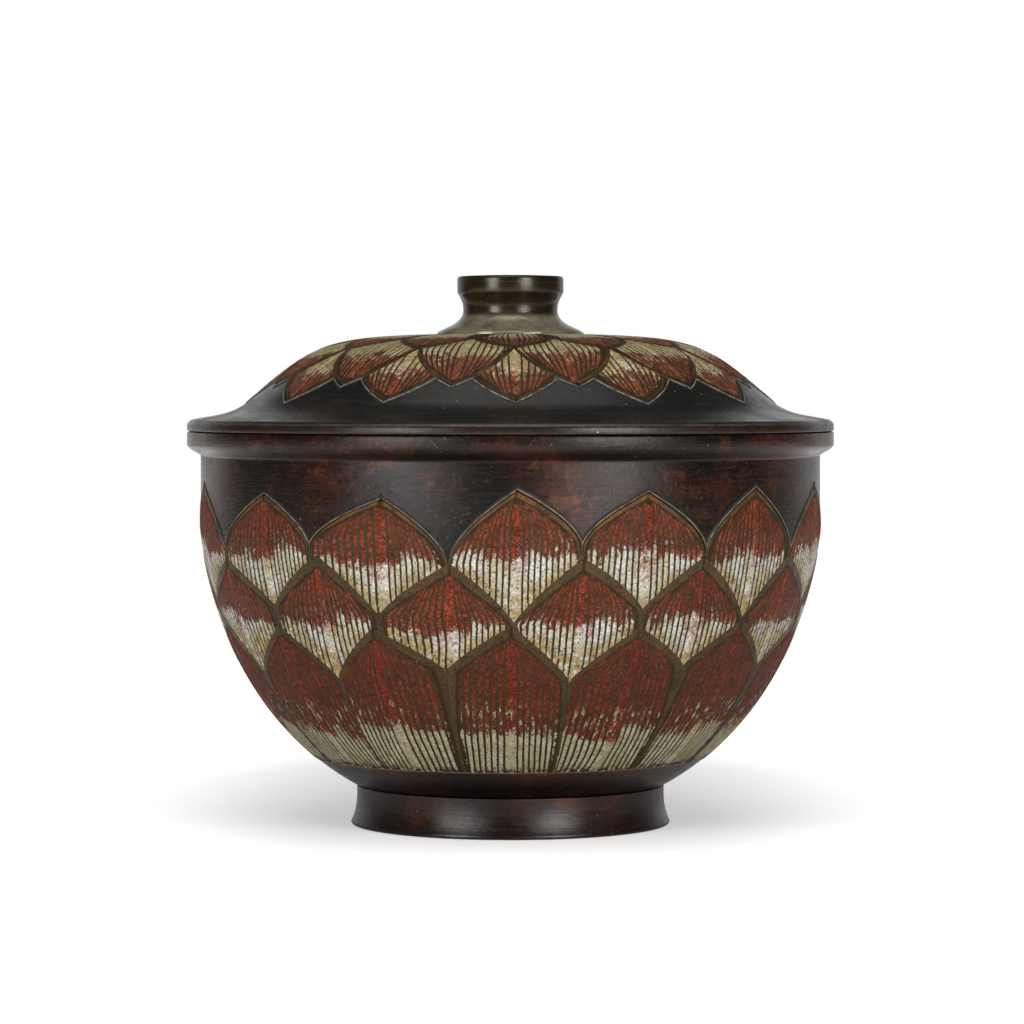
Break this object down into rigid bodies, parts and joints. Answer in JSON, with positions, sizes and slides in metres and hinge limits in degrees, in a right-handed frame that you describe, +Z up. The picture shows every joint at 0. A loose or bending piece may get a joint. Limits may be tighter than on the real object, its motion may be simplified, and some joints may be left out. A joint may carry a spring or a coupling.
{
  "type": "covered bowl",
  "caption": "Round bronze bowl on a flared foot ring with a domed, knobbed cover, both dressed with overlapping lotus petals in inlaid red and white enamel.",
  "frame": {"origin": "middle of the resting face of the foot ring, on the surface the bowl stands on", "axes": "+Z up along the axis of the bowl and cover; -Y is the side seen in the picture; +X to its right"},
  "size_m": [0.26, 0.26, 0.2209],
  "materials": {
    "bowl_bronze": "satin",
    "cover_bronze": "satin",
    "knob_bronze": "satin",
    "bare_bronze": "satin",
    "enamel": "satin"
  },
  "bodies": {
    "bowl": {"bowl_shell": "bowl_bronze", "foot_ring": "bowl_bronze", "bowl_enamel_top_01": "enamel", "bowl_enamel_top_02": "enamel", "bowl_enamel_top_03": "enamel", "bowl_enamel_top_04": "enamel", "bowl_enamel_top_05": "enamel", "bowl_enamel_top_06": "enamel", "bowl_enamel_top_07": "enamel", "bowl_enamel_top_08": "enamel", "bowl_enamel_top_09": "enamel", "bowl_enamel_top_10": "enamel", "bowl_enamel_top_11": "enamel", "bowl_enamel_top_12": "enamel", "bowl_enamel_top_13": "enamel", "bowl_enamel_top_14": "enamel", "bowl_enamel_middle_01": "enamel", "bowl_enamel_middle_02": "enamel", "bowl_enamel_middle_03": "enamel", "bowl_enamel_middle_04": "enamel", "bowl_enamel_middle_05": "enamel", "bowl_enamel_middle_06": "enamel", "bowl_enamel_middle_07": "enamel", "bowl_enamel_middle_08": "enamel", "bowl_enamel_middle_09": "enamel", "bowl_enamel_middle_10": "enamel", "bowl_enamel_middle_11": "enamel", "bowl_enamel_middle_12": "enamel", "bowl_enamel_middle_13": "enamel", "bowl_enamel_middle_14": "enamel", "bowl_enamel_bottom_01": "enamel", "bowl_enamel_bottom_02": "enamel", "bowl_enamel_bottom_03": "enamel", "bowl_enamel_bottom_04": "enamel", "bowl_enamel_bottom_05": "enamel", "bowl_enamel_bottom_06": "enamel", "bowl_enamel_bottom_07": "enamel", "bowl_enamel_bottom_08": "enamel", "bowl_enamel_bottom_09": "enamel", "bowl_enamel_bottom_10": "enamel", "bowl_enamel_bottom_11": "enamel", "bowl_enamel_bottom_12": "enamel", "bowl_enamel_bottom_13": "enamel", "bowl_enamel_bottom_14": "enamel"},
    "cover": {"cover_shell": "cover_bronze", "cover_locating_ring": "bare_bronze", "knob": "knob_bronze", "knob_washer": "bare_bronze", "cover_enamel_outer_01": "enamel", "cover_enamel_outer_02": "enamel", "cover_enamel_outer_03": "enamel", "cover_enamel_outer_04": "enamel", "cover_enamel_outer_05": "enamel", "cover_enamel_outer_06": "enamel", "cover_enamel_outer_07": "enamel", "cover_enamel_outer_08": "enamel", "cover_enamel_outer_09": "enamel", "cover_enamel_outer_10": "enamel", "cover_enamel_outer_11": "enamel", "cover_enamel_outer_12": "enamel"}
  },
  "joints": [
    {"name": "cover_lift", "type": "slide", "parent": "bowl", "child": "cover", "axis": [0, 0, 1], "range_m": [0, 0.12]}
  ]
}
